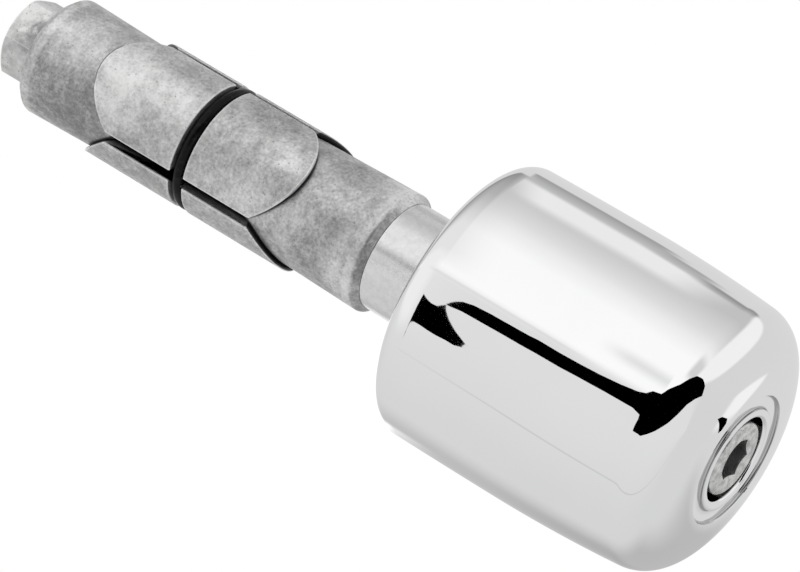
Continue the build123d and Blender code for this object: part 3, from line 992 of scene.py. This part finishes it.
def pale_floor():
    """A pale sweep that shows the part's shadow. It fades out, and is clear from underneath."""
    mesh = bmesh.new()
    bmesh.ops.create_circle(mesh, cap_ends=True, radius=FLOOR_RADIUS, segments=96)
    bmesh.ops.translate(mesh, vec=(0, 0, -FLOOR_DROP), verts=mesh.verts)
    bmesh.ops.recalc_face_normals(mesh, faces=mesh.faces)
    finish = Finish(bpy.data.materials.new("pale floor"))
    sheet = finish.node("ShaderNodeBsdfDiffuse", None, {"Color": (0.86, 0.86, 0.86, 1.0)})
    clear = finish.node("ShaderNodeBsdfTransparent")
    beneath = finish.node("ShaderNodeNewGeometry", output="Backfacing")
    unseen = beneath.math("MAXIMUM", finish.reach().between(*FLOOR_FADE))
    fading = finish.node("ShaderNodeMixShader", None, {0: unseen, 1: sheet, 2: clear})
    finish.node("ShaderNodeOutputMaterial", None, {"Surface": fading})
    floor = stand_up(mesh, "pale_floor", finish.owner)
    hide_from_all_but(floor, "camera")


def soft_lamp(name, around, below, size, power):
    """A square softbox that faces the part."""
    lamp = bpy.data.lights.new(name, "AREA")
    lamp.shape = "SQUARE"
    lamp.size = size
    lamp.energy = power
    holder = bpy.data.objects.new(name, lamp)
    bpy.context.scene.collection.objects.link(holder)
    away = compass(around, below)
    stand = Matrix.Translation(away * LAMP_DISTANCE + AXIS * LAMP_AIM)
    holder.matrix_world = stand @ away.to_track_quat("Z", "Y").to_matrix().to_4x4()
    holder.visible_camera = False
    holder.visible_glossy = False


tent()
black_card("black_card", 0, 12, (
    (-0.235, 0.743), (-0.124, 0.73), (-0.068, 0.723), (-0.03, 0.714), (-0.012, 0.702),
    (0, 0.68), (0.018, 0.65), (0.018, 0.598), (0.028, 0.554), (0.045, 0.513), (0.074, 0.473),
    (0.113, 0.441), (0.152, 0.429), (0.227, 0.424), (0.349, 0.267), (0.494, -0.069),
    (0.682, -0.32), (0.832, -0.595), (0.966, -1.169), (1.049, -1.964), (0.928, -2.62),
    (0.583, -1.629), (0.353, -1.133), (0.138, -0.889), (-0.045, -0.616), (-0.219, -0.229),
    (-0.326, 0.062), (-0.404, 0.285), (-0.407, 0.428), (-0.322, 0.424), (-0.22, 0.418),
    (-0.153, 0.419), (-0.116, 0.434), (-0.125, 0.491), (-0.144, 0.555), (-0.157, 0.588),
    (-0.165, 0.648), (-0.179, 0.692), (-0.2, 0.728), (-0.229, 0.74),
))
black_card("black_card_left", -28, -10, (
    (-0.415, 0.304), (-0.25, 0.2812), (-0.126, 0.2713), (0.001, 0.2682), (0.13, 0.2724),
    (0.214, 0.2783), (0.254, 0.2813), (0.214, 0.2743), (0.192, 0.269), (0.199, 0.2662),
    (0.25, 0.2688), (0.276, 0.2706), (0.178, 0.2582), (0.097, 0.2492), (0.048, 0.2442),
    (0.014, 0.2405), (-0.025, 0.2366), (-0.084, 0.2389), (-0.115, 0.244), (-0.114, 0.2485),
    (-0.126, 0.2545), (-0.125, 0.259), (-0.118, 0.2633), (-0.122, 0.2668), (-0.183, 0.273),
    (-0.298, 0.2859),
))
black_card("black_card_far", 176, 39, (
    (-0.033, -0.161), (-0.028, -0.08), (0.002, 0.074), (0.021, 0.129), (0.032, 0.131),
    (0.034, 0.089), (0.008, -0.008),
))
pale_floor()
soft_lamp("key_softbox", 55, -25, 0.6, 5.0)
soft_lamp("fill_softbox", -70, -20, 0.7, 2.0)

# The camera
# It stands a little below the part's level, near the outer face, and is rolled so that the axis
# falls to the lower right.
AIM_HEIGHT, AIM_DROP, CAMERA_DISTANCE = 49.65, 2.87, 700.0
TILT, ROLL = math.radians(67), math.radians(31)
FOCAL_LENGTH, SENSOR_WIDTH = 253.6, 36.0

to_camera = VIEW_ACROSS * math.sin(TILT) - AXIS * math.cos(TILT)
down_axis = -VIEW_ACROSS * math.cos(TILT) - AXIS * math.sin(TILT)
camera_right = down_axis * math.cos(ROLL) + VIEW_SIDE * math.sin(ROLL)
camera_up = -down_axis * math.sin(ROLL) + VIEW_SIDE * math.cos(ROLL)
lens = bpy.data.cameras.new("photo camera")
lens.lens = FOCAL_LENGTH
lens.sensor_width = SENSOR_WIDTH
lens.clip_start = 0.01
lens.clip_end = 20.0
camera = bpy.data.objects.new("photo camera", lens)
bpy.context.scene.collection.objects.link(camera)
aim = (AXIS * AIM_HEIGHT - VIEW_SIDE * AIM_DROP) * MM
stand = Matrix((camera_right, camera_up, to_camera)).transposed().to_4x4()
camera.matrix_world = Matrix.Translation(aim + to_camera * CAMERA_DISTANCE * MM) @ stand
bpy.context.scene.camera = camera
bpy.context.scene.view_settings.view_transform = "Standard"
